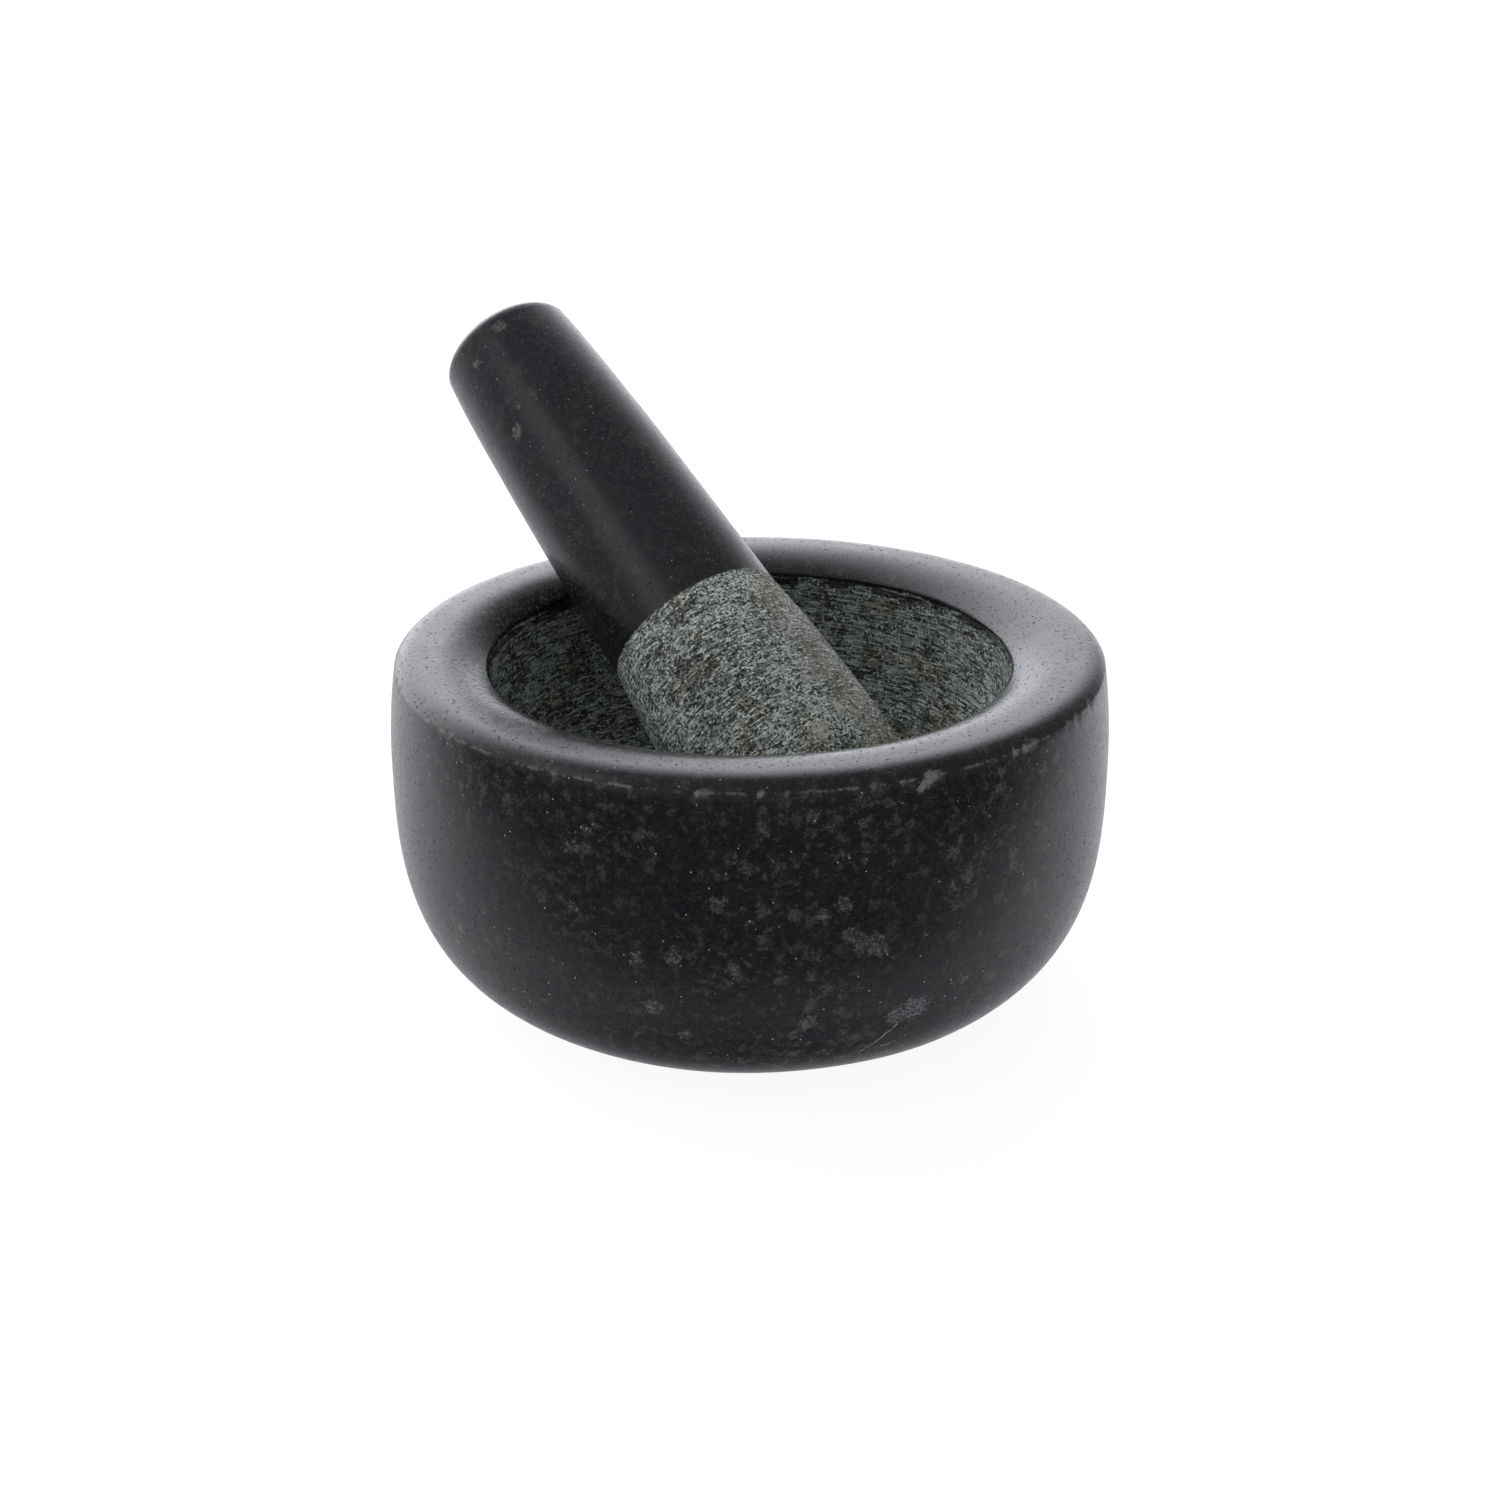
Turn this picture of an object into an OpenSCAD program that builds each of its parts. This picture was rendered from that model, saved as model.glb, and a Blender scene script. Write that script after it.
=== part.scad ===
// Stone mortar with a loose pestle, in millimetres.
// The origin is the centre of the mortar's flat foot, and +Z is up.
// The pestle is drawn at rest, with its head in the bowl and its handle against the rim.

/* [Mortar wall] */
// widest diameter of the mortar
mortar_d = 140; // [120:1:160]
// height from the foot to the crown of the rim
mortar_h = 69.1; // [62:0.1:80]
// diameter of the flat foot
foot_d = 72.8; // [50:0.2:100]
// height of the widest level
belly_h = 48.7; // [35:0.1:55]
// fullness of the lower wall towards the side, where 2 is an ellipse
side_fullness = 2.2; // [1.8:0.1:3]
// fullness of the lower wall towards the foot, where 2 is an ellipse
foot_fullness = 3.1; // [2:0.1:4]

/* [Rim] */
// how far the rim's outer edge is drawn in from the widest level
edge_inset = 1.5; // [0.5:0.1:3]
// depth of the outer edge below the crown
edge_drop = 2.4; // [1:0.1:4]
// distance from the outer edge in to the top of the crown
crown_inset = 6.9; // [4:0.1:9]
// diameter of the mouth at its polished lip
mouth_d = 101; // [80:0.5:104]
// depth of the lip below the crown
lip_drop = 3.5; // [2:0.1:6]
// how late the crown rolls over towards the outer edge, where 2 is a parabola
outer_roll = 4; // [2:0.1:5]
// how late the crown rolls over towards the lip, where 2 is a parabola
inner_roll = 2.4; // [1.5:0.1:4]

/* [Bowl] */
// height of the upright band under the lip
lip_band = 1.2; // [0.5:0.1:3]
// depth of the groove cut into the wall under the lip
groove_depth = 0.7; // [0.4:0.1:1.5]
// height of that groove
groove_h = 1.2; // [0.8:0.1:2.5]
// thickness of the stone under the bowl
floor_t = 22; // [12:0.5:30]
// fullness of the bowl, where 2 is an ellipse
bowl_fullness = 2.2; // [1.8:0.1:3]

/* [Pestle] */
// length from the tip of the head to the end of the handle
pestle_l = 141; // [125:1:160]
// diameter that the handle tapers to at its end
handle_d = 24.8; // [20:0.2:30]
// how fast the handle swells away from its end, where 1 is a plain cone
handle_taper = 0.45; // [0.3:0.05:1]
// height of the rounded end of the handle
handle_dome = 7; // [4:0.5:10]
// length of the polished handle, up to the ground head
handle_l = 85.7; // [70:0.1:95]
// diameter where the polished handle meets the ground head
line_d = 36.8; // [31:0.2:38]
// greatest diameter of the head
head_d = 41.6; // [39:0.2:46]
// length over which the head swells to that diameter
head_swell = 40; // [25:1:45]
// length of the rounded end of the head
head_round = 18.6; // [14:0.2:22]

/* [Resting pose] */
// angle of the pestle above level
lean = 34; // [33:0.5:45]
// direction the handle points, turned from +X towards +Y
heading = 128.4; // [0:0.1:360]
// distance of the head's tip from the mortar's axis, away from the handle
tip_out = 27.5; // [20:0.5:28]
// sideways distance of the pestle's line from the mortar's axis
tip_side = 1.1; // [0:0.1:2]
// height of the head's tip above the bowl's floor
tip_rise = 12.5; // [12.5:0.1:20]

/* [Hidden] */
$fn = 120;
stone_dark = "#2e2e33";
stone_ground = "#3b403f";
mortar_r = mortar_d / 2;
foot_r = foot_d / 2;
mouth_r = mouth_d / 2;
edge_r = mortar_r - edge_inset;
edge_z = mortar_h - edge_drop;
crown_r = edge_r - crown_inset;
lip_z = mortar_h - lip_drop;
groove_top = lip_z - lip_band;
groove_bottom = groove_top - groove_h;
groove_r = mouth_r + groove_depth;
groove_slope = groove_depth / 2;
dome_fullness = 1.5;
head_fullness = 2.65;
handle_r = handle_d / 2;
line_r = line_d / 2;
head_r = head_d / 2;
head_start = pestle_l - head_round;
wall_steps = 24;
upper_steps = 5;
edge_steps = 8;
crown_steps = 12;
bowl_steps = 22;
dome_steps = 8;
handle_steps = 10;
head_steps = 6;
tip_steps = 12;

// angles that divide a quarter turn into n steps, from the first step to the last
function quarter(n, first = 0, last = 1) = [for (i = [first : n - 1 + last]) 90 * i / n];

// distances along a curve of the given fullness, 0 to 1
function along(a, fullness) = pow(sin(a), 2 / fullness);
function down(a, fullness) = pow(cos(a), 2 / fullness);

function lower_wall() = [
    for (a = quarter(wall_steps))
        [
            foot_r + (mortar_r - foot_r) * along(a, side_fullness),
            belly_h * (1 - down(a, foot_fullness))
        ]
];

function upper_wall() = [
    for (i = [1 : upper_steps])
        let (t = i / upper_steps)
        [mortar_r - edge_inset * t * t, belly_h + (edge_z - belly_h) * t]
];

// the rim, from its outer edge up to the top of the crown, with more steps near the edge
function rim_edge() = [
    for (a = quarter(edge_steps, first = 1))
        [crown_r + crown_inset * cos(a), mortar_h - edge_drop * pow(cos(a), outer_roll)]
];

// and from there in and down to the lip
function rim_crown() = [
    for (i = [1 : crown_steps])
        let (t = i / crown_steps)
        [crown_r - (crown_r - mouth_r) * t, mortar_h - lip_drop * pow(t, inner_roll)]
];

function groove() = [
    [mouth_r, groove_top],
    [groove_r, groove_top - groove_slope],
    [groove_r, groove_bottom]
];

function bowl() = [
    for (a = quarter(bowl_steps))
        [
            mouth_r * down(a, bowl_fullness),
            groove_bottom - (groove_bottom - floor_t) * along(a, bowl_fullness)
        ]
];

// radius of the pestle at a distance from the handle's end
function handle_radius(s) = handle_r + (line_r - handle_r) * pow(s / handle_l, handle_taper);
function head_radius(s) =
    let (t = min(1, (s - handle_l) / head_swell))
    line_r + (head_r - line_r) * t * (2 - t);

// heights run from the head's tip, so a distance s from the handle's end is at pestle_l - s
function handle_end() = [
    for (a = quarter(dome_steps))
        let (s = handle_dome * (1 - down(a, dome_fullness)))
        [handle_radius(s) * along(a, dome_fullness), pestle_l - s]
];

function handle_side() = [
    for (i = [1 : handle_steps])
        let (s = handle_dome + (handle_l - handle_dome) * i / handle_steps)
        [handle_radius(s), pestle_l - s]
];

function head_side() = [
    for (i = [1 : head_steps])
        let (s = handle_l + (head_start - handle_l) * i / head_steps)
        [head_radius(s), pestle_l - s]
];

function head_end() = [
    for (a = quarter(tip_steps, first = 1))
        [
            head_radius(head_start) * down(a, head_fullness),
            head_round * (1 - along(a, head_fullness))
        ]
];

module mortar()
{
    color(stone_dark)
        rotate_extrude()
            polygon(concat([[0, 0]], lower_wall(), upper_wall(), rim_edge(), rim_crown(), groove(), bowl()));
}

module pestle_upright()
{
    rotate_extrude()
        polygon(concat(handle_end(), handle_side(), head_side(), head_end()));
}

module pestle()
{
    color(stone_ground)
        rotate([0, 0, heading])
            translate([-tip_out, -tip_side, floor_t + tip_rise])
                rotate([0, 90 - lean, 0])
                    pestle_upright();
}

mortar();
pestle();
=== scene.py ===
import math
import random
from collections import namedtuple

import bpy
import numpy as np
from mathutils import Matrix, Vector, noise


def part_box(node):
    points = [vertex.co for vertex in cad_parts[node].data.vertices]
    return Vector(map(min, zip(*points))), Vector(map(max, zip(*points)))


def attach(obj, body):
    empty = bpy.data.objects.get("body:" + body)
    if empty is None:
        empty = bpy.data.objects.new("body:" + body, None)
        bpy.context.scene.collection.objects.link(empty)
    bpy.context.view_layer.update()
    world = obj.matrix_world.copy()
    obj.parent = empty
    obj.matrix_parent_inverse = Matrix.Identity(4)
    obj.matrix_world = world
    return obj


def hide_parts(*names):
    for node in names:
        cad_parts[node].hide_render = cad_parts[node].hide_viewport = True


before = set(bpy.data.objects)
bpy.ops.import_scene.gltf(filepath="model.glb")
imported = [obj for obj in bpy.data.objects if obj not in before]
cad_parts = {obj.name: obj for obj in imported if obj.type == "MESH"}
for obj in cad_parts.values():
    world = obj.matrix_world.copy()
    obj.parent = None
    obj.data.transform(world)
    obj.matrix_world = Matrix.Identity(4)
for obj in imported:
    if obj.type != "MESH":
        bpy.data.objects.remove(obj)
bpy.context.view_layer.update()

MM = 0.001

# The mortar's sizes in millimetres: the outside from its CAD box, the rest as in the CAD model.
_, mortar_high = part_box("mortar")
OUT_R = mortar_high.x / MM
TOP = mortar_high.z / MM
FOOT_R = 36.4
BELLY_Z = 48.7
EDGE_INSET, EDGE_DROP = 1.5, 2.4
CROWN_INSET = 6.9
MOUTH_R = 50.5
LIP_DROP = 3.5
LIP_BAND, GROOVE_H, GROOVE_DEPTH = 1.2, 1.2, 0.7
FLOOR_Z = 22.0
SIDE_FULL, FOOT_FULL, BOWL_FULL = 2.2, 3.1, 2.2
OUTER_ROLL, INNER_ROLL = 4.0, 2.4

EDGE_R = OUT_R - EDGE_INSET
EDGE_Z = TOP - EDGE_DROP
CROWN_R = EDGE_R - CROWN_INSET
LIP_Z = TOP - LIP_DROP
GROOVE_TOP = LIP_Z - LIP_BAND
GROOVE_LOW = GROOVE_TOP - GROOVE_H

# The pestle's sizes in millimetres, measured from the end of the handle, and its resting pose.
PESTLE_L = 141.0
HANDLE_R, LINE_R, HEAD_R = 12.4, 18.4, 20.8
HANDLE_TAPER, HANDLE_DOME, HANDLE_L = 0.45, 7.0, 85.7
HEAD_SWELL, HEAD_ROUND = 40.0, 18.6
DOME_FULL, HEAD_FULL = 1.5, 2.65
LEAN, HEADING = math.radians(34), math.radians(128.4)
TIP_OUT, TIP_SIDE, TIP_RISE = 27.5, 1.1, 12.5

# Marks on the mortar's wall: degrees round from the front towards the right, height and radius.
EDGE_CHIPS = [(27, 66.5, 1.6), (25.5, 65, 1.0), (43, 66.5, 0.9), (45.5, 66.5, 1.1), (1.5, 66.5, 0.8),
              (-7.5, 66.5, 0.7)]
WALL_PATCHES = [(14.5, 39.5, 1.7), (16, 38, 1.9), (18, 37.5, 2.1), (19, 36, 1.8), (10.5, 44, 1.4),
                (13.5, 45.5, 1.6), (-4.5, 46.5, 1.7), (-11, 35.5, 1.9), (-16.5, 34.5, 1.6), (-2, 33, 1.4),
                (-14.5, 24.5, 2.0), (-10, 18.5, 1.5), (8.5, 21.5, 2.1), (-26, 54, 1.5), (-15.5, 58.5, 1.3)]
WALL_SCUFFS = [(23, 20.5, 2.2), (26, 21.5, 2.8)]

# Scratches on the wall: degrees and height where each starts and ends.
WALL_SCRATCHES = [((18, 11), (24.5, 19.5)), ((21.5, 12.5), (25, 13))]

# Marks on the pestle: degrees round from its underside, distance up from the tip of the head, and radius.
# The stain on the head is a pale-brown stain laid broadly over its right side. It is also painted light: it
# makes that side brighter, as if the light falls stronger there.
HEAD_STAIN_AND_PAINTED_LIGHT = [(201, 46.5, 7), (200, 38, 8), (196, 29, 7), (200, 20, 7), (203, 12, 6)]
HEAD_SHADE = [(129, 37, 5), (126, 40.5, 3.5), (181, 47, 1.5)]
HEAD_PALE = [(167, 15, 2.3), (177, 26.5, 1.3), (184, 18, 1.6)]
HANDLE_SPOTS = [(113, 127.5, 1.3), (113, 108, 1.5), (146, 131, 1.5)]

# Chips scattered along an edge: their radii in millimetres, and a chip's depth as a share of its radius.
CHIP_RADII = (0.5, 1.3)
CHIP_DEPTH = 0.22
EDGE_CHIP_COUNT, LIP_CHIP_COUNT = 26, 40
EDGE_SEED, LIP_SEED = 4, 9

# Where the ground stone starts below the lip, and the depth that stands for anywhere outside the bowl.
GROUND_START = 0.8
OUTSIDE = -5.0

# How far each stone is drawn in, so that its bumps stay inside the CAD shape. Then how much the edge of the
# ground zone wanders, how much stone is left in the groove where it is worn away, and how ragged the lip is.
MORTAR_INSET, PESTLE_INSET = 0.12, 0.16
ZONE_WANDER = 0.9
GROOVE_FILL = 0.62
LIP_RAGGED = 0.35

# Points round each ring of the two meshes.
MORTAR_SEGMENTS, PESTLE_SEGMENTS = 480, 320


# ---------------------------------------------------------------- outlines

def curve(point, steps):
    """Points of a curve given by point(t), for t from 0 to 1."""
    return [point(i / steps) for i in range(steps + 1)]


def gone_along(outline):
    """The distance gone along an outline at each of its points."""
    return np.r_[0, np.cumsum(np.hypot(*np.diff(outline, axis=0).T))]


def spaced(points, spacing):
    """The same outline with points at most that far apart, its first and last kept."""
    p = np.array(points, float)
    gone = gone_along(p)
    n = max(1, math.ceil(gone[-1] / spacing))
    at = np.linspace(0, gone[-1], n + 1)
    return [(np.interp(a, gone, p[:, 0]), np.interp(a, gone, p[:, 1])) for a in at]


def along(t, full):
    """How far sideways a quarter curve has gone at t; a fullness of 2 is an ellipse."""
    return math.sin(t * math.pi / 2) ** (2 / full)


def down(t, full):
    """How much of its height the same curve has left at t."""
    return max(0.0, math.cos(t * math.pi / 2)) ** (2 / full)


def joined(*stretches):
    """One outline from stretches that meet end to end."""
    out = list(stretches[0])
    for s in stretches[1:]:
        out += s[1:]
    return np.array(out)


def mortar_outline():
    """The mortar's outline from the middle of its foot, round the outside and down into the bowl."""
    def lower(t):
        r = FOOT_R + (OUT_R - FOOT_R) * along(t, SIDE_FULL)
        return r, BELLY_Z * (1 - down(t, FOOT_FULL))

    def upper(t):
        return OUT_R - EDGE_INSET * t * t, BELLY_Z + (EDGE_Z - BELLY_Z) * t

    def edge(t):
        u = math.cos(t * math.pi / 2)
        return CROWN_R + CROWN_INSET * u, TOP - EDGE_DROP * u ** OUTER_ROLL

    def crown(t):
        return CROWN_R - (CROWN_R - MOUTH_R) * t, TOP - LIP_DROP * t ** INNER_ROLL

    def bowl(t):
        return MOUTH_R * down(t, BOWL_FULL), GROOVE_LOW - (GROOVE_LOW - FLOOR_Z) * along(t, BOWL_FULL)

    foot = [(0, 0), (FOOT_R, 0)]
    band = [(MOUTH_R, LIP_Z), (MOUTH_R, GROOVE_TOP)]
    groove_r = MOUTH_R + GROOVE_DEPTH
    groove = [(MOUTH_R, GROOVE_TOP), (groove_r, GROOVE_TOP - GROOVE_DEPTH / 2), (groove_r, GROOVE_LOW),
              (MOUTH_R, GROOVE_LOW)]
    # Each stretch comes with the distance between its rings in millimetres.
    stretches = [(foot, 3.5), (curve(lower, 200), 1.7), (curve(upper, 40), 1.7), (curve(edge, 80), 0.4),
                 (curve(crown, 60), 0.75), (band, 0.3), (groove, 0.24), (curve(bowl, 240), 0.8)]
    return joined(*(spaced(points, apart) for points, apart in stretches))


def handle_radius(s):
    """Radius of the handle at a distance from its end."""
    return HANDLE_R + (LINE_R - HANDLE_R) * (s / HANDLE_L) ** HANDLE_TAPER


def head_radius(s):
    """Radius of the head at a distance from the handle's end."""
    t = min(1.0, (s - HANDLE_L) / HEAD_SWELL)
    return LINE_R + (HEAD_R - LINE_R) * t * (2 - t)


def pestle_outline():
    """The pestle's outline, upright on its tip, from the tip up to the middle of the handle's end."""
    start = PESTLE_L - HEAD_ROUND

    def dome(t):
        s = HANDLE_DOME * (1 - down(t, DOME_FULL))
        return handle_radius(s) * along(t, DOME_FULL), PESTLE_L - s

    def handle(t):
        s = HANDLE_DOME + (HANDLE_L - HANDLE_DOME) * t
        return handle_radius(s), PESTLE_L - s

    def head(t):
        s = HANDLE_L + (start - HANDLE_L) * t
        return head_radius(s), PESTLE_L - s

    def tip(t):
        return head_radius(start) * down(t, HEAD_FULL), HEAD_ROUND * (1 - along(t, HEAD_FULL))

    # Each stretch comes with the distance between its rings in millimetres.
    stretches = [(curve(dome, 120), 0.6), (curve(handle, 120), 1.0), (curve(head, 80), 0.5),
                 (curve(tip, 120), 0.5)]
    from_the_top = joined(*(spaced(points, apart) for points, apart in stretches))
    return from_the_top[::-1]


# ---------------------------------------------------------------- turned stones

def outline_normals(outline):
    """Unit normals of an outline, pointing out of the stone, which lies to its left."""
    d = np.gradient(outline, axis=0)
    n = np.stack([d[:, 1], -d[:, 0]], 1)
    return n / np.maximum(np.linalg.norm(n, axis=1, keepdims=True), 1e-9)


def turned(outline, segments):
    """The rings of a turned stone: points, normals and angles of every ring but the two poles."""
    rings, normals = outline[1:-1], outline_normals(outline)[1:-1]
    turn = np.linspace(0, 2 * math.pi, segments, endpoint=False)
    c, s = np.cos(turn), np.sin(turn)
    points = np.stack([rings[:, :1] * c, rings[:, :1] * s, rings[:, 1:] + 0 * c], -1)
    outward = np.stack([normals[:, :1] * c, normals[:, :1] * s, normals[:, 1:] + 0 * c], -1)
    return points, outward, turn


def faces_of(rings, segments):
    """Quads between the rings, and a fan of triangles at each pole, whose points come last."""
    faces = []
    for i in range(rings - 1):
        ring, following = i * segments, (i + 1) * segments
        for j in range(segments):
            k = (j + 1) % segments
            faces.append((ring + j, ring + k, following + k, following + j))
    first_pole, last_pole = rings * segments, rings * segments + 1
    last_ring = (rings - 1) * segments
    for j in range(segments):
        k = (j + 1) % segments
        faces.append((first_pole, k, j))
        faces.append((last_pole, last_ring + j, last_ring + k))
    return faces


def put_attribute(mesh, name, kind, values):
    """Store one value or vector per point, for the material to read."""
    layer = mesh.attributes.new(name, kind, "POINT")
    layer.data.foreach_set("value" if kind == "FLOAT" else "vector", np.asarray(values, np.float32).ravel())


def turning_of(outline, turn):
    """For turning marks: the cosine and sine of the angle, and the distance gone along the outline."""
    gone = gone_along(outline)
    turning = np.empty((len(outline) - 2, len(turn), 3))
    turning[..., 0] = np.cos(turn)
    turning[..., 1] = np.sin(turn)
    turning[..., 2] = gone[1:-1, None]
    ends = np.array([[0, 0, gone[0]], [0, 0, gone[-1]]])
    return np.concatenate([turning.reshape(-1, 3), ends])


def stone(name, outline, segments, shape, place):
    """A turned stone as one closed mesh. shape(points) gives how far each point moves along its normal, and
    the layers that the material reads there. place(points) takes the stone's own frame to the model's."""
    points, outward, turn = turned(outline, segments)
    shift, layers = shape(points)
    poles = np.array([[0, 0, outline[0][1]], [0, 0, outline[-1][1]]])
    local = np.concatenate([(points + outward * shift[..., None]).reshape(-1, 3), poles])
    mesh = bpy.data.meshes.new(name)
    mesh.from_pydata((place(local) * MM).tolist(), [], faces_of(len(points), segments))
    put_attribute(mesh, "stone_mm", "FLOAT_VECTOR", local)
    put_attribute(mesh, "turning", "FLOAT_VECTOR", turning_of(outline, turn))
    for key, values in layers.items():
        kind = "FLOAT" if values.ndim == 2 else "FLOAT_VECTOR"
        on_rings = values.reshape(-1, *values.shape[2:])
        at_poles = values[[0, -1], 0]
        put_attribute(mesh, key, kind, np.concatenate([on_rings, at_poles]))
    mesh.polygons.foreach_set("use_smooth", [True] * len(mesh.polygons))
    mesh.update()
    piece = bpy.data.objects.new(name, mesh)
    bpy.context.scene.collection.objects.link(piece)
    return piece


def lumps(points, size, offset=0.0):
    """Smooth noise, from -1 to 1, at every point. size is that of its lumps in millimetres, and offset
    only picks another pattern."""
    flat = points.reshape(-1, 3) / size + offset
    return np.array([noise.noise(Vector(p)) for p in flat]).reshape(points.shape[:-1])


def smoothstep(low, high, x):
    """0 below low, 1 above high, and a smooth step between them."""
    t = np.clip((x - low) / (high - low), 0, 1)
    return t * t * (3 - 2 * t)


def chips(points, places):
    """Scooped chips, from a list of (centre, radius). Returns the depth cut and the fresh stone shown."""
    cut = np.zeros(points.shape[:-1])
    fresh = np.zeros(points.shape[:-1])
    for centre, radius in places:
        far = np.linalg.norm(points - np.array(centre), axis=-1) / radius
        share = np.clip(1 - far * far, 0, 1)
        cut = np.maximum(cut, CHIP_DEPTH * radius * share)
        fresh = np.maximum(fresh, np.clip(share * 2, 0, 1))
    return cut, fresh


def near(points, places):
    """1.5 at the middle of the nearest place, 0.5 at its radius and 0 well outside it."""
    value = np.zeros(points.shape[:-1])
    for centre, radius in places:
        far = np.linalg.norm(points - np.array(centre), axis=-1) / radius
        value = np.maximum(value, np.clip(1.5 - far, 0, 1.5))
    return value


def scattered_chips(r, z, count, seed):
    """Small chips along one edge of the mortar."""
    rng = random.Random(seed)
    places = []
    for _ in range(count):
        turn = rng.uniform(0, 2 * math.pi)
        places.append(((r * math.cos(turn), r * math.sin(turn), z), rng.uniform(*CHIP_RADII)))
    return places


# ---------------------------------------------------------------- shapes of the two stones

def wall_point(turn, z):
    """A point on the mortar's wall, from its degrees round from the front and its height."""
    if z > BELLY_Z:
        r = OUT_R - EDGE_INSET * ((z - BELLY_Z) / (EDGE_Z - BELLY_Z)) ** 2
    else:
        cosine = (1 - z / BELLY_Z) ** (FOOT_FULL / 2)
        r = FOOT_R + (OUT_R - FOOT_R) * math.sqrt(1 - cosine ** 2) ** (2 / SIDE_FULL)
    return r * math.sin(math.radians(turn)), -r * math.cos(math.radians(turn)), z


def pestle_point(turn, z):
    """A point on the pestle's side, from its degrees round from the underside and distance from the tip."""
    s = PESTLE_L - z
    r = handle_radius(s) if s < HANDLE_L else head_radius(s)
    return r * math.cos(math.radians(turn)), r * math.sin(math.radians(turn)), z


def placed(marks, point):
    """Marks as (centre, radius), from their (degrees, height, radius)."""
    return [(point(turn, z), radius) for turn, z, radius in marks]


def into_bowl(points):
    """How far each point lies into the bowl's ground zone, which starts just under the lip."""
    r, z = np.hypot(points[..., 0], points[..., 1]), points[..., 2]
    inside = (r < MOUTH_R + GROOVE_DEPTH + 0.01) & (z > FLOOR_Z - 2)
    return np.where(inside, LIP_Z - GROUND_START - z, OUTSIDE)


def groove_zone(r, z):
    """Whether each point, by its radius and height, lies in the groove under the lip."""
    across = (r > MOUTH_R + 0.05) & (r < MOUTH_R + GROOVE_DEPTH + 0.05)
    return across & (z < GROOVE_TOP + 0.1) & (z > GROOVE_LOW - 1)


def mortar_shape(points):
    """A wavy polished outside, a rough bowl, a groove that is worn away in places and painted with shade
    where it stays open, and chipped edges.
    """
    around = points * (1, 1, 0)
    r, z = np.hypot(points[..., 0], points[..., 1]), points[..., 2]
    deep = into_bowl(points)
    deep += ZONE_WANDER * lumps(around, 7, 61.0) * (deep > OUTSIDE + 1)
    ground = smoothstep(-0.1, 0.3, deep)
    hand = 0.10 * lumps(points, 28) + 0.03 * lumps(points, 9, 5.0)
    rough = 0.16 * lumps(points, 3.4, 11.0) + 0.12 * lumps(points, 1.5, 17.0) - 0.1
    in_groove = groove_zone(r, z)
    worn_away = smoothstep(0.0, 0.4, lumps(around, 9, 31.0))
    filled = GROOVE_FILL * worn_away * in_groove
    at_lip = np.exp(-((r - MOUTH_R) ** 2 + (z - GROOVE_TOP) ** 2) / 0.5)
    ragged = LIP_RAGGED * lumps(points, 1.9, 41.0) * at_lip
    edge_chips = placed(EDGE_CHIPS, wall_point)
    edge_scatter = scattered_chips(EDGE_R, EDGE_Z, EDGE_CHIP_COUNT, EDGE_SEED)
    lip_scatter = scattered_chips(MOUTH_R, GROOVE_TOP, LIP_CHIP_COUNT, LIP_SEED)
    cut, fresh = chips(points, edge_chips + edge_scatter + lip_scatter)
    shift = -MORTAR_INSET + hand * (1 - ground) + rough * ground + filled + ragged - cut
    # The fresh layer also carries painted shade. It goes below zero in the groove where the groove stays
    # open, and the material paints that near black.
    fresh = fresh * (1 - ground) - in_groove * (1 - worn_away)
    shown = [placed(WALL_PATCHES, wall_point), placed(WALL_SCUFFS, wall_point), edge_chips]
    marks = np.stack([near(points, places) for places in shown], -1)
    arris = np.minimum(np.hypot(r - EDGE_R, z - EDGE_Z), 9)
    return shift, {"finish": deep, "fresh": fresh, "marks": marks, "arris": arris}


def pestle_shape(points):
    """A wavy polished handle and a rough head."""
    past_line = PESTLE_L - HANDLE_L - points[..., 2]
    ground = smoothstep(-0.4, 0.4, past_line)
    hand = 0.10 * lumps(points, 24, 3.0) + 0.02 * lumps(points, 8, 8.0)
    rough = 0.10 * lumps(points, 2.8, 21.0) + 0.08 * lumps(points, 1.3, 27.0)
    shift = -PESTLE_INSET + hand * (1 - ground) + (rough + 0.03) * ground
    shown = [HANDLE_SPOTS + HEAD_PALE, HEAD_STAIN_AND_PAINTED_LIGHT, HEAD_SHADE]
    marks = np.stack([near(points, placed(places, pestle_point)) for places in shown], -1)
    return shift, {"finish": past_line, "fresh": 0 * shift, "marks": marks}


def upright(local):
    """The mortar's own points, which stand as they are."""
    return local


def leaning(local):
    """The pestle's own points, upright on its tip, taken to its resting pose."""
    level = np.array([math.cos(HEADING), math.sin(HEADING), 0.0])
    side = np.array([-math.sin(HEADING), math.cos(HEADING), 0.0])
    axis = math.cos(LEAN) * level + np.array([0, 0, math.sin(LEAN)])
    under = np.cross(side, axis)
    tip = -TIP_OUT * level - TIP_SIDE * side + np.array([0, 0, FLOOR_Z + TIP_RISE])
    return tip + local[:, :1] * under + local[:, 1:2] * side + local[:, 2:] * axis


# ---------------------------------------------------------------- materials

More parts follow.
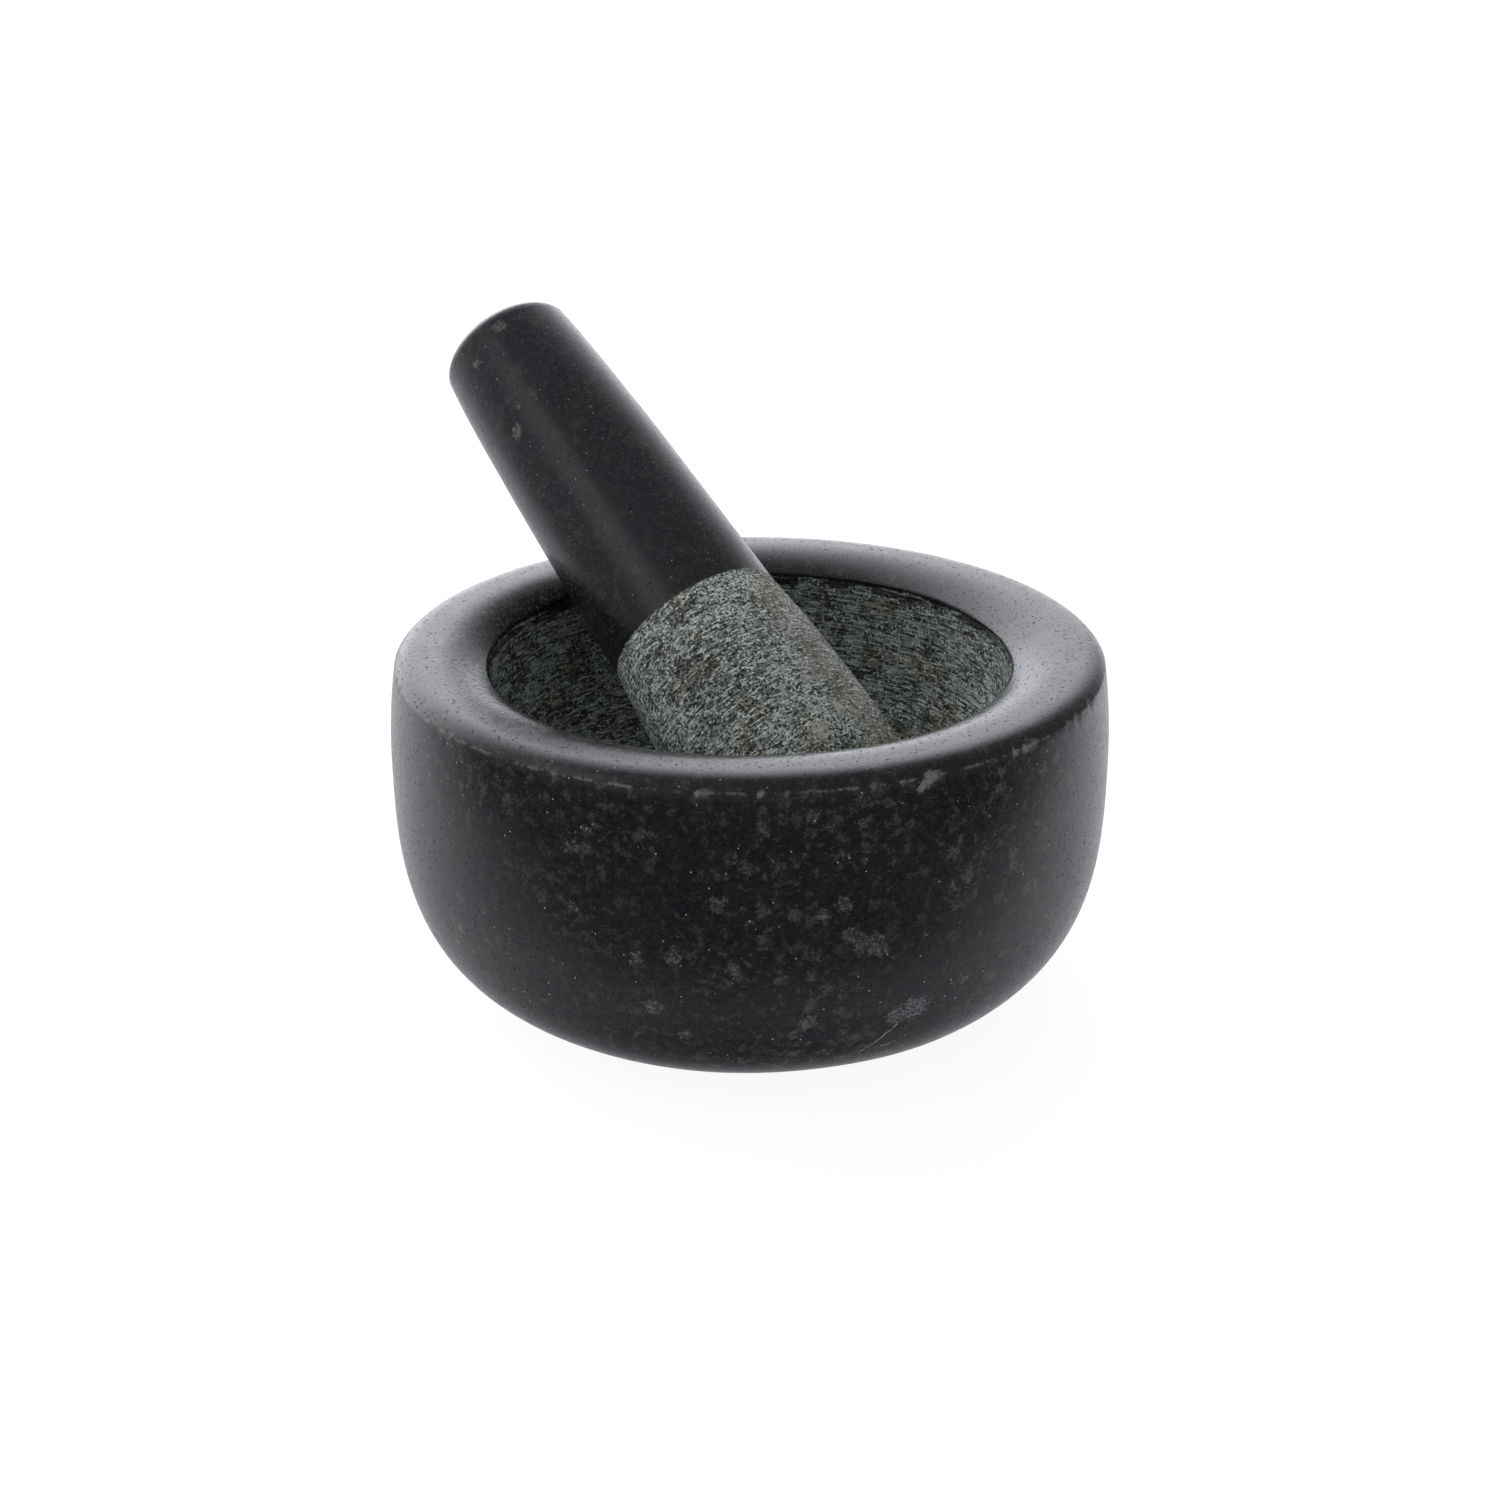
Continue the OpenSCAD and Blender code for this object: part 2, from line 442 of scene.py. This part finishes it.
class Nodes:
    """Short forms for building the nodes of a material or of the world."""

    def __init__(self, tree):
        self.tree = tree

    def new(self, kind, **settings):
        """A new node with these settings."""
        node = self.tree.nodes.new(kind)
        for key, value in settings.items():
            setattr(node, key, value)
        return node

    def feed(self, socket, value):
        """Link an output to a socket, or set the socket to a plain value."""
        if isinstance(value, bpy.types.NodeSocket):
            self.tree.links.new(value, socket)
        else:
            socket.default_value = value

    def attribute(self, name, output):
        return self.new("ShaderNodeAttribute", attribute_name=name).outputs[output]

    def math(self, operation, a, b=0.0):
        node = self.new("ShaderNodeMath", operation=operation)
        self.feed(node.inputs[0], a)
        self.feed(node.inputs[1], b)
        return node.outputs[0]

    def times(self, first, *others):
        """The product of two or more values."""
        for other in others:
            first = self.math("MULTIPLY", first, other)
        return first

    def vector(self, operation, a, b):
        node = self.new("ShaderNodeVectorMath", operation=operation)
        self.feed(node.inputs[0], a)
        self.feed(node.inputs[1], b)
        return node.outputs["Value" if operation in ("DISTANCE", "DOT_PRODUCT") else "Vector"]

    def noise(self, at, scale, detail=2.0, roughness=0.5, output="Fac"):
        node = self.new("ShaderNodeTexNoise")
        self.feed(node.inputs["Vector"], at)
        self.feed(node.inputs["Scale"], scale)
        self.feed(node.inputs["Detail"], detail)
        self.feed(node.inputs["Roughness"], roughness)
        return node.outputs[output]

    def cells(self, at, scale):
        """Voronoi cells: the distance to the nearest centre, and a number that differs from cell to cell."""
        node = self.new("ShaderNodeTexVoronoi")
        self.feed(node.inputs["Vector"], at)
        self.feed(node.inputs["Scale"], scale)
        apart = self.new("ShaderNodeSeparateColor")
        self.feed(apart.inputs[0], node.outputs["Color"])
        return node.outputs["Distance"], apart.outputs[0]

    def ramp(self, value, low, high, to_low=0.0, to_high=1.0):
        """A smooth step from to_low, where the value is low, to to_high, where it is high."""
        node = self.new("ShaderNodeMapRange", interpolation_type="SMOOTHSTEP")
        for place, fed in enumerate((value, low, high, to_low, to_high)):
            self.feed(node.inputs[place], fed)
        return node.outputs[0]

    def mix(self, share, a, b, blend_type="MIX"):
        """Colour a, with that share of colour b over it."""
        node = self.new("ShaderNodeMix", data_type="RGBA", blend_type=blend_type)
        self.feed(node.inputs[0], share)
        self.feed(node.inputs[6], a)
        self.feed(node.inputs[7], b)
        return node.outputs[2]

    def tint(self, share, colour, by):
        """A colour multiplied by another, as far as share says."""
        return self.mix(share, colour, by, "MULTIPLY")

    def blend(self, share, a, b):
        """Value a at a share of 0, and b at 1."""
        node = self.new("ShaderNodeMix", data_type="FLOAT")
        self.feed(node.inputs[0], share)
        self.feed(node.inputs[2], a)
        self.feed(node.inputs[3], b)
        return node.outputs[0]

    def bump(self, height, depth):
        """A normal from a height of 0 to 1 that stands for that many millimetres."""
        node = self.new("ShaderNodeBump")
        self.feed(node.inputs["Height"], height)
        self.feed(node.inputs["Strength"], 1.0)
        self.feed(node.inputs["Distance"], depth * MM)
        return node.outputs[0]

    def specks(self, at, scale, radius, share):
        """Small round grains: 1 inside them. share is the part of the cells that hold one."""
        off_centre, chance = self.cells(at, scale)
        spot = self.ramp(off_centre, radius * 1.3, radius * 0.7)
        return self.times(spot, self.ramp(chance, 1 - share, 1 - 0.8 * share))

    def clouds(self, at, scale, low, high):
        """Ragged patches about 1/scale across, grainy inside; low and high set how much they cover."""
        body = self.ramp(self.noise(at, scale, 6.0, 0.68), low, high)
        return self.times(body, self.ramp(self.noise(at, 2.6, 3.0, 0.7), 0.35, 0.60, 0.35, 1.0))

    def patches(self, at, scale, radius, share):
        """Ragged patches of differing strength, grainy inside."""
        wobble = self.vector("MULTIPLY", self.noise(at, 0.9, 6.0, 0.8, "Color"), (6.0, 6.0, 6.0))
        spots = self.specks(self.vector("ADD", at, wobble), scale, radius, share)
        return self.times(spots, self.ramp(self.noise(at, 2.2, 4.0, 0.75), 0.40, 0.60, 0.15, 1.0))

    def mark(self, layer, at, grain):
        """A mark from one part of the marks layer, with a ragged edge and broken up inside."""
        wobble = self.times(self.math("SUBTRACT", self.noise(at, grain, 5.0, 0.7), 0.5), 2.6)
        body = self.ramp(self.math("ADD", layer, wobble), 0.45, 0.80)
        body = self.times(body, self.ramp(layer, 0.0, 0.3))
        return self.times(body, self.ramp(self.noise(at, 2.2 * grain, 4.0, 0.75), 0.42, 0.58, 0.15, 1.0))

    def scratch(self, at, start, end):
        """A thin, slightly wandering scratch on the outside, from one point to another."""
        a, b = Vector(start), Vector(end)
        middle = (a + b) / 2
        reach = (b - a).length / 2
        across = (b - a).cross(Vector((middle.x, middle.y, 0))).normalized()
        wobble = self.times(self.math("SUBTRACT", self.noise(at, 0.4, 3.0), 0.5), 1.2)
        off = self.vector("DOT_PRODUCT", self.vector("SUBTRACT", at, tuple(middle)), tuple(across))
        line = self.ramp(self.math("ABSOLUTE", self.math("ADD", off, wobble)), 0.26, 0.08)
        within = self.ramp(self.vector("DISTANCE", at, tuple(middle)), reach, reach - 1)
        return self.times(line, within, self.ramp(self.noise(at, 1.6, 3.0, 0.7), 0.42, 0.55))


def rgb(r, g, b):
    return (r, g, b, 1.0)


def shaded(colour, k):
    """A colour k times as bright."""
    return rgb(*(k * c for c in colour))


# Colours of polished stone.
BROWN_BLACK = rgb(0.0120, 0.0117, 0.0122)
GREY_BLACK = rgb(0.0185, 0.0185, 0.0220)
FLECK = rgb(0.115, 0.108, 0.094)
WHITE_GRAIN = rgb(0.50, 0.50, 0.48)
PIT = rgb(0.006, 0.006, 0.006)
FLAKE = rgb(0.16, 0.165, 0.16)
FRESH_STONE = rgb(0.14, 0.145, 0.135)
WORN_ARRIS = rgb(0.20, 0.205, 0.20)
WALL_PATCH = rgb(0.145, 0.139, 0.122)
WALL_SCUFF = rgb(0.215, 0.230, 0.240)
EDGE_CHIP = rgb(0.280, 0.300, 0.285)
SCRATCH = rgb(0.30, 0.32, 0.33)
HANDLE_SPOT = rgb(0.22, 0.215, 0.20)

# Colours of ground stone. The tints multiply the stone's own colour.
# The groove colour is painted shade: near black, put in the open groove under the lip where shade falls.
GROOVE_SHADE = rgb(0.008, 0.008, 0.007)
DULL_TINT = rgb(0.40, 0.41, 0.38)
BLUE_TINT = rgb(0.83, 0.94, 1.00)
BROWN_TINT = rgb(0.68, 0.60, 0.52)
SHADE_TINT = rgb(0.25, 0.21, 0.17)
# The head's stain colour is partly a real pale-brown stain and partly painted light, brightening the head's
# right side.
STAIN_AND_PAINTED_LIGHT = rgb(0.46, 0.40, 0.33)
PALE_PINK = rgb(0.74, 0.63, 0.58)

# How the two stones differ: tone is the colour of their light ground grains, streaks how finely the turning
# marks divide the stone round it and along it, dashes the share of those marks among the grains, flecked the
# strength of the polished flecks, and cool the bluer of the two blacks.
Look = namedtuple("Look", "tone streaks dashes flecked cool")
MORTAR_LOOK = Look((0.655, 0.705, 0.645), (14.0, 14.0, 2.2), 0.45, 1.0, rgb(0.0097, 0.0095, 0.0128))
PESTLE_LOOK = Look((0.735, 0.79, 0.73), (9.0, 9.0, 2.4), 0.25, 0.55, rgb(0.0100, 0.0095, 0.0165))
BUMP_DEPTH = 0.28


def polished_colour(n, at, look):
    """Near-black stone, bluish here and brownish there, with ragged grey-brown flecks and white grains."""
    hue = n.ramp(n.noise(at, 0.07, 3.0, 0.6), 0.42, 0.6)
    mottle = n.ramp(n.noise(at, 0.9, 5.0, 0.65), 0.38, 0.68)
    dark = n.mix(mottle, n.mix(hue, look.cool, BROWN_BLACK), GREY_BLACK)
    crowd = n.ramp(n.noise(at, 0.05, 2.0), 0.40, 0.60, 0.4 * look.flecked, look.flecked)
    faint = n.times(n.clouds(at, 0.5, 0.53, 0.66), 0.55)
    big = n.times(n.patches(at, 0.36, 0.42, 0.20), 0.8)
    small = n.times(n.patches(at, 0.85, 0.38, 0.16), 0.7)
    flecks = n.times(n.math("MAXIMUM", faint, n.math("MAXIMUM", big, small)), crowd)
    grains = n.times(n.specks(at, 1.0, 0.14, 0.08), n.ramp(crowd, 0.0, 0.6, 0.4, 0.9))
    return n.mix(grains, n.mix(flecks, dark, FLECK), WHITE_GRAIN)


def ground_colour(n, at, turning, look):
    """Grey-green ground stone: bright and dark grains, short turning marks, blue and brown patches."""
    grain = n.cells(at, 2.3)[1]
    dash = n.cells(turning, 1.3)[1]
    dust = n.noise(at, 2.0, 4.0, 0.75)
    light = n.math("ADD", n.times(grain, 0.75 - look.dashes), n.times(dash, look.dashes))
    light = n.math("ADD", light, n.times(n.ramp(dust, 0.36, 0.62), 0.25))
    body = n.mix(n.ramp(light, 0.28, 0.78), shaded(look.tone, 0.05), shaded(look.tone, 1.0))
    dull = n.ramp(n.noise(at, 0.16, 4.0, 0.7), 0.58, 0.36)
    body = n.tint(n.times(dull, 0.8), body, DULL_TINT)
    blue = n.ramp(n.noise(n.vector("ADD", at, (40.0, 0.0, 0.0)), 0.12, 4.0, 0.65), 0.5, 0.66)
    body = n.tint(n.times(blue, 0.7), body, BLUE_TINT)
    brown = n.ramp(n.noise(at, 0.11, 3.0, 0.6), 0.48, 0.62)
    body = n.tint(brown, body, BROWN_TINT)
    bright = n.ramp(n.cells(n.vector("ADD", at, (9.0, 0.0, 0.0)), 2.6)[1], 0.90, 0.94)
    streak = n.ramp(n.cells(n.vector("ADD", turning, (9.0, 0.0, 0.0)), 1.8)[1], 0.90, 0.94)
    return n.mix(n.times(n.math("MAXIMUM", bright, streak), 0.75), body, shaded(look.tone, 1.55))


def pits_and_nicks(n, at, ground):
    """Small pits and short nicks, 1 inside them, on the polished stone only."""
    pits = n.specks(at, 0.8, 0.16, 0.18)
    nicks = n.noise(n.vector("MULTIPLY", at, (0.8, 0.5, 1.0)), 1.8, 5.0, 0.75)
    both = n.math("MAXIMUM", pits, n.ramp(nicks, 0.60, 0.66))
    return n.times(both, n.math("SUBTRACT", 1.0, ground))


def relief(n, at, turning, ground, pits):
    """The bump: a fine skin with pits on polished stone, sandy grains with turning marks on ground stone."""
    coarse = n.times(n.noise(at, 0.8, 4.0, 0.6), 0.10)
    fine = n.times(n.noise(at, 3.0, 3.0, 0.7), 0.07)
    skin = n.math("SUBTRACT", n.math("ADD", coarse, fine), n.times(pits, 0.6))
    sand = n.math("ADD", n.noise(at, 1.9, 3.0, 0.75), n.times(n.noise(turning, 1.0, 2.0, 0.6), 0.5))
    return n.bump(n.blend(ground, skin, sand), BUMP_DEPTH)


def granite(name, look, paint_polished, paint_ground):
    """Granite with a polished and a ground zone. The two paint functions add each stone's own marks."""
    material = bpy.data.materials.new(name)
    material.use_nodes = True
    n = Nodes(material.node_tree)
    shader = material.node_tree.nodes["Principled BSDF"]
    at = n.attribute("stone_mm", "Vector")
    turning = n.vector("MULTIPLY", n.attribute("turning", "Vector"), look.streaks)
    apart = n.new("ShaderNodeSeparateXYZ")
    n.feed(apart.inputs[0], n.attribute("marks", "Vector"))
    ragged = n.times(n.math("SUBTRACT", n.noise(at, 1.3, 3.0), 0.5), 0.9)
    ground = n.ramp(n.math("ADD", n.attribute("finish", "Fac"), ragged), -0.15, 0.15)
    fresh = n.ramp(n.attribute("fresh", "Fac"), 0.2, 0.8, 0.0, 0.6)
    # Painted shade: where the fresh layer goes below zero, in the open groove under the lip, the ground stone
    # is painted near black.
    groove_shade = n.ramp(n.attribute("fresh", "Fac"), -0.1, -0.7, 0.0, 0.65)
    pits = pits_and_nicks(n, at, ground)

    polished = n.mix(fresh, polished_colour(n, at, look), FRESH_STONE)
    polished = paint_polished(n, at, apart.outputs, polished)
    polished = n.mix(n.times(pits, 0.8), polished, PIT)
    flakes = n.noise(n.vector("MULTIPLY", at, (0.6, 0.9, 1.6)), 1.5, 4.0, 0.7)
    polished = n.mix(n.ramp(flakes, 0.64, 0.69, 0.0, 0.5), polished, FLAKE)
    rough = paint_ground(n, at, apart.outputs, ground_colour(n, at, turning, look))
    # Painted shade: the open groove under the lip is painted near black.
    rough = n.mix(groove_shade, rough, GROOVE_SHADE)
    n.feed(shader.inputs["Base Color"], n.mix(ground, polished, rough))

    gloss = n.ramp(n.noise(at, 0.5, 5.0, 0.65), 0.35, 0.7, 0.21, 0.30)
    gloss = n.blend(n.math("MAXIMUM", pits, fresh), gloss, 0.7)
    n.feed(shader.inputs["Roughness"], n.blend(ground, gloss, 0.8))
    n.feed(shader.inputs["Normal"], relief(n, at, turning, ground, pits))
    return material


def mortar_granite():
    """The mortar's granite, with its worn arris, and the patches, scuffs, chips and scratches of its wall."""
    def polished(n, at, marks, colour):
        arris = n.ramp(n.attribute("arris", "Fac"), 0.45, 0.1)
        arris = n.times(arris, n.ramp(n.noise(at, 0.5, 5.0, 0.75), 0.46, 0.60, 0.0, 0.7))
        colour = n.mix(arris, colour, WORN_ARRIS)
        patchy = n.ramp(n.noise(at, 1.1, 4.0, 0.75), 0.42, 0.56, 0.25, 0.85)
        colour = n.mix(n.times(n.mark(marks[0], at, 0.9), patchy), colour, WALL_PATCH)
        broken = n.ramp(n.noise(at, 2.0, 4.0, 0.75), 0.45, 0.56, 0.15, 0.8)
        colour = n.mix(n.times(n.mark(marks[1], at, 2.0), broken), colour, WALL_SCUFF)
        colour = n.mix(n.times(n.mark(marks[2], at, 2.2), 0.8), colour, EDGE_CHIP)
        for start, end in WALL_SCRATCHES:
            scratch = n.scratch(at, wall_point(*start), wall_point(*end))
            colour = n.mix(n.times(scratch, 0.7), colour, SCRATCH)
        return colour

    def ground(n, at, marks, colour):
        return colour

    return granite("granite_mortar", MORTAR_LOOK, polished, ground)


def pestle_granite():
    """The pestle's granite, with spots on its handle, and on its head dark and pale patches and a stain over
    its right side that is partly painted light.
    """
    def polished(n, at, marks, colour):
        return n.mix(n.times(n.mark(marks[0], at, 0.9), 0.8), colour, HANDLE_SPOT)

    def ground(n, at, marks, colour):
        # A pale-brown stain over the head's right side, which also paints in the brighter light falling on
        # that side.
        colour = n.mix(n.times(n.mark(marks[1], at, 0.35), 0.45), colour, STAIN_AND_PAINTED_LIGHT)
        colour = n.tint(n.times(n.mark(marks[2], at, 0.6), 0.9), colour, SHADE_TINT)
        return n.mix(n.times(n.mark(marks[0], at, 0.9), 0.9), colour, PALE_PINK)

    return granite("granite_pestle", PESTLE_LOOK, polished, ground)


# ---------------------------------------------------------------- stage

# The camera's angle above level, its distance, the height that it aims at, and its lens in millimetres.
CAMERA_TILT = math.radians(22.81)
CAMERA_AWAY = 7.0 * OUT_R * MM
CAMERA_AIM = 0.656 * OUT_R * MM
CAMERA_LENS = 59.67

# The floor's half width in metres and its own glow; the backdrop's direction and glow; the colour of the
# studio's light; and the glow of the background that the camera sees.
FLOOR_HALF = 8.0
FLOOR_GLOW = 0.92
BACKDROP_WAY = (-0.38, 0.89, 0.255)
BACKDROP_GLOW = 2.25
STUDIO_WHITE = rgb(0.965, 0.990, 1.045)
SEEN_GLOW = 1.05


def camera():
    """A camera that looks down at the mortar from about half a metre away."""
    aim = Vector((0, 0, CAMERA_AIM))
    back = Vector((0, -math.cos(CAMERA_TILT), math.sin(CAMERA_TILT)))
    data = bpy.data.cameras.new("camera")
    data.sensor_width = 36.0
    data.lens = CAMERA_LENS
    data.clip_start = 0.01
    data.clip_end = 50
    cam = bpy.data.objects.new("camera", data)
    cam.location = aim + CAMERA_AWAY * back
    cam.rotation_euler = (math.pi / 2 - CAMERA_TILT, 0, 0)
    bpy.context.scene.collection.objects.link(cam)
    bpy.context.scene.camera = cam


def floor():
    """A plain white floor that glows faintly, so that the stone throws only a soft shadow."""
    mesh = bpy.data.meshes.new("floor")
    r = FLOOR_HALF
    mesh.from_pydata([(-r, -r, 0), (r, -r, 0), (r, r, 0), (-r, r, 0)], [], [(0, 1, 2, 3)])
    plane = bpy.data.objects.new("floor", mesh)
    bpy.context.scene.collection.objects.link(plane)
    material = bpy.data.materials.new("floor_white")
    material.use_nodes = True
    shader = material.node_tree.nodes["Principled BSDF"]
    shader.inputs["Base Color"].default_value = rgb(0.3, 0.3, 0.3)
    shader.inputs["Roughness"].default_value = 0.9
    shader.inputs["Specular IOR Level"].default_value = 0.0
    shader.inputs["Emission Color"].default_value = rgb(1.0, 1.0, 1.0)
    shader.inputs["Emission Strength"].default_value = FLOOR_GLOW
    mesh.materials.append(material)
    plane.visible_glossy = False


def softbox(name, where, aim, width, height, power):
    """A rectangular lamp at one point, turned towards another."""
    data = bpy.data.lights.new(name, "AREA")
    data.shape = "RECTANGLE"
    data.size = width
    data.size_y = height
    data.energy = power
    lamp = bpy.data.objects.new(name, data)
    lamp.location = where
    lamp.rotation_euler = (Vector(aim) - Vector(where)).to_track_quat("-Z", "Y").to_euler()
    bpy.context.scene.collection.objects.link(lamp)


def surroundings():
    """A white studio: a bright backdrop behind, soft fill overhead, and a floor that darkens towards the
    front. The camera itself sees plain white wherever it looks past the floor."""
    world = bpy.data.worlds.new("studio")
    bpy.context.scene.world = world
    world.use_nodes = True
    n = Nodes(world.node_tree)
    way = n.new("ShaderNodeTexCoord").outputs["Generated"]
    apart = n.new("ShaderNodeSeparateXYZ")
    n.feed(apart.inputs[0], way)
    x, y, z = apart.outputs
    facing = n.vector("DOT_PRODUCT", way, BACKDROP_WAY)
    fill = n.ramp(x, -0.5, 0.5, 0.34, 0.22)
    above = n.math("ADD", n.ramp(facing, 0.45, 1.0, 0.0, BACKDROP_GLOW), fill)
    steep = n.math("MAXIMUM", n.math("SUBTRACT", n.math("MULTIPLY", z, -2.0), 0.5), 0.0)
    open_floor = n.ramp(n.math("ADD", y, steep), -0.15, 0.75)
    below = n.times(open_floor, n.math("ADD", n.math("MULTIPLY", z, 1.4), 1.45))
    back = n.tree.nodes["Background"]
    back.inputs["Color"].default_value = STUDIO_WHITE
    lit = n.blend(n.ramp(z, -0.12, 0.06), below, above)
    seen = n.new("ShaderNodeLightPath").outputs["Is Camera Ray"]
    n.feed(back.inputs["Strength"], n.blend(seen, lit, SEEN_GLOW))


# ---------------------------------------------------------------- the object

def build():
    """The two stones, each on its own body in place of its CAD node."""
    outline = mortar_outline()
    mortar = stone("mortar_stone", outline, MORTAR_SEGMENTS, mortar_shape, upright)
    mortar.data.materials.append(mortar_granite())
    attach(mortar, "mortar")
    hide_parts("mortar")

    outline = pestle_outline()
    pestle = stone("pestle_stone", outline, PESTLE_SEGMENTS, pestle_shape, leaning)
    pestle.data.materials.append(pestle_granite())
    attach(pestle, "pestle")
    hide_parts("pestle")


build()
floor()
camera()
surroundings()
softbox("softbox_left", where=(-0.80, -0.30, 0.80), aim=(0, 0, 0.06), width=0.45, height=0.55, power=0.52)
bpy.context.scene.view_settings.view_transform = "Standard"
